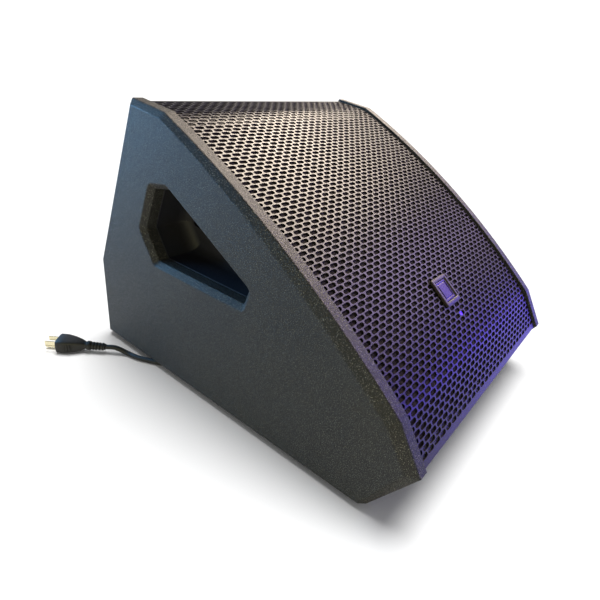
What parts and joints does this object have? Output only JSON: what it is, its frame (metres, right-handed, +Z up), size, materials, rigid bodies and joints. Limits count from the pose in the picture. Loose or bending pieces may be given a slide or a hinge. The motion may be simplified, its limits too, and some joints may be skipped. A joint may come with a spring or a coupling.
{
  "type": "stage monitor wedge",
  "caption": "Low powered floor loudspeaker wedge with a curved perforated grille, pocket handles in its coated plywood cheeks, a sloped amplifier panel at the back and a mains lead.",
  "frame": {"origin": "On the floor, under the middle of the cabinet's width and depth. The mains lead, which lies free, isn't counted.", "axes": "+Z up. -Y is the front, the side with the grille's low lip. +Y is the back, with the amplifier panel. +X is the object's right when seen from the front."},
  "size_m": [0.5136, 0.6117, 0.344],
  "materials": {
    "textured_coating": "black textured polyurethane coating over birch plywood, matt with fine sparkle",
    "black_steel": "fine textured black powder coat on perforated or folded steel",
    "zinc_steel": "zinc plated, satin",
    "black_plastic": "moulded black plastic, finely grained",
    "black_rubber": "matt black rubber",
    "acoustic_foam": "open-cell black foam",
    "coated_paper": "coated paper pulp, matt",
    "treated_cloth": "resin-treated woven cloth",
    "ferrite": "ground ferrite and black steel, satin",
    "cast_aluminium": "cast and extruded aluminium, satin",
    "copper_winding": "enamelled copper winding",
    "circuit_board": "green solder resist over glass laminate",
    "plated_brass": "nickel plated brass, polished",
    "blue_lens": "clear blue light pipe, glossy",
    "badge_metal": "dark anodised, brushed"
  },
  "bodies": {
    "cabinet": {"amp_panel": "black_steel", "badge_frame": "black_plastic", "badge_plate": "badge_metal", "bottom_panel": "textured_coating", "circuit_board": "circuit_board", "coaxial_horn": "black_plastic", "combo_jack_1": "black_plastic", "combo_jack_2": "black_plastic", "compression_driver": "ferrite", "foot_front_left": "black_rubber", "foot_front_right": "black_rubber", "foot_rear_left": "black_rubber", "foot_rear_right": "black_rubber", "front_baffle": "textured_coating", "front_lower_panel": "textured_coating", "grille": "black_steel", "grille_foam": "acoustic_foam", "heatsink": "cast_aluminium", "left_handle_cup": "black_plastic", "left_side_panel": "textured_coating", "link_jack": "black_plastic", "lower_baffle": "textured_coating", "magnet_ring": "ferrite", "magnet_yoke": "zinc_steel", "mains_connector": "black_rubber", "mains_inlet": "black_plastic", "mains_lead_coil": "black_rubber", "mains_lead_rear": "black_rubber", "mains_lead_run": "black_rubber", "mains_plug": "black_rubber", "plug_blade_line": "plated_brass", "plug_blade_neutral": "plated_brass", "plug_earth_pin": "plated_brass", "port_tube_left": "black_plastic", "port_tube_right": "black_plastic", "power_led": "blue_lens", "power_supply": "cast_aluminium", "rear_lower_panel": "textured_coating", "rear_upper_panel": "textured_coating", "right_handle_cup": "black_plastic", "right_side_panel": "textured_coating", "switch_bezel": "black_plastic", "top_rail": "textured_coating", "woofer_basket": "cast_aluminium", "woofer_bolt_1": "zinc_steel", "woofer_bolt_2": "zinc_steel", "woofer_bolt_3": "zinc_steel", "woofer_bolt_4": "zinc_steel", "woofer_gasket": "black_rubber", "woofer_spider": "treated_cloth", "woofer_surround": "treated_cloth"},
    "driver_cone": {"woofer_cone": "coated_paper", "voice_coil": "copper_winding"},
    "level_knob_1": {"level_knob_1": "black_plastic"},
    "level_knob_2": {"level_knob_2": "black_plastic"},
    "encoder_shaft": {"encoder_shaft": "zinc_steel"},
    "encoder_knob": {"encoder_knob": "black_plastic"},
    "jack_latch_1": {"jack_latch_1": "zinc_steel"},
    "jack_latch_2": {"jack_latch_2": "zinc_steel"},
    "power_rocker": {"power_rocker": "black_plastic"}
  },
  "joints": [
    {"name": "cone_travel", "type": "slide", "parent": "cabinet", "child": "driver_cone", "axis": [0, -0.5439, 0.8391], "range_m": [-0.005, 0.005], "stiffness_N_per_m": 6000},
    {"name": "level_1_turn", "type": "hinge", "parent": "cabinet", "child": "level_knob_1", "pos_m": [-0.02, 0.19019, 0.24504], "axis": [0, 0.9217, 0.388], "range_deg": [-150, 150]},
    {"name": "level_2_turn", "type": "hinge", "parent": "cabinet", "child": "level_knob_2", "pos_m": [-0.062, 0.19019, 0.24504], "axis": [0, 0.9217, 0.388], "range_deg": [-150, 150]},
    {"name": "encoder_push", "type": "slide", "parent": "cabinet", "child": "encoder_shaft", "axis": [0, -0.9217, -0.388], "range_m": [0, 0.0008], "stiffness_N_per_m": 3000},
    {"name": "encoder_turn", "type": "hinge", "parent": "encoder_shaft", "child": "encoder_knob", "pos_m": [-0.104, 0.18787, 0.25057], "axis": [0, 0.9217, 0.388], "continuous": true},
    {"name": "latch_1_press", "type": "slide", "parent": "cabinet", "child": "jack_latch_1", "axis": [0, -0.9217, -0.388], "range_m": [0, 0.0014], "stiffness_N_per_m": 1500},
    {"name": "latch_2_press", "type": "slide", "parent": "cabinet", "child": "jack_latch_2", "axis": [0, -0.9217, -0.388], "range_m": [0, 0.0014], "stiffness_N_per_m": 1500},
    {"name": "power_rock", "type": "hinge", "parent": "cabinet", "child": "power_rocker", "pos_m": [0.104, 0.19485, 0.23398], "axis": [0, -0.388, 0.9217], "range_deg": [-20, 0]}
  ]
}
